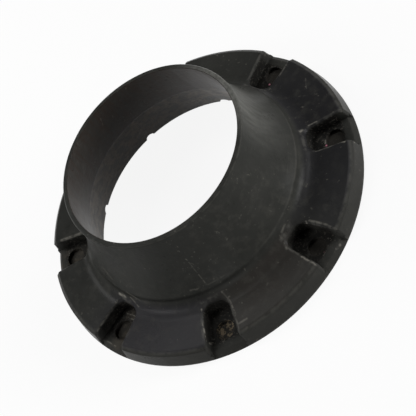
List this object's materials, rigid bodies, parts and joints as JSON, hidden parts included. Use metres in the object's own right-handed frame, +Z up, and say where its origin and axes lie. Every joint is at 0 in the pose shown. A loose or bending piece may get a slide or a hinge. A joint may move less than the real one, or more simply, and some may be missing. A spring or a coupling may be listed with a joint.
{
  "type": "coil spring isolator",
  "caption": "Moulded rubber ring that sits at the end of a coil spring, with an open flared neck, a dished seat for the wire and open pockets round the flange.",
  "frame": {"origin": "middle of the flat underside, on the axis of the bore", "axes": "+Z up the axis towards the rim of the neck, +X through the middle of one pocket"},
  "size_m": [0.15, 0.15, 0.0455],
  "materials": {
    "rubber": "matt black moulded rubber with a faint sheen and pale dust"
  },
  "bodies": {
    "root": {"isolator_body": "rubber"}
  },
  "joints": []
}
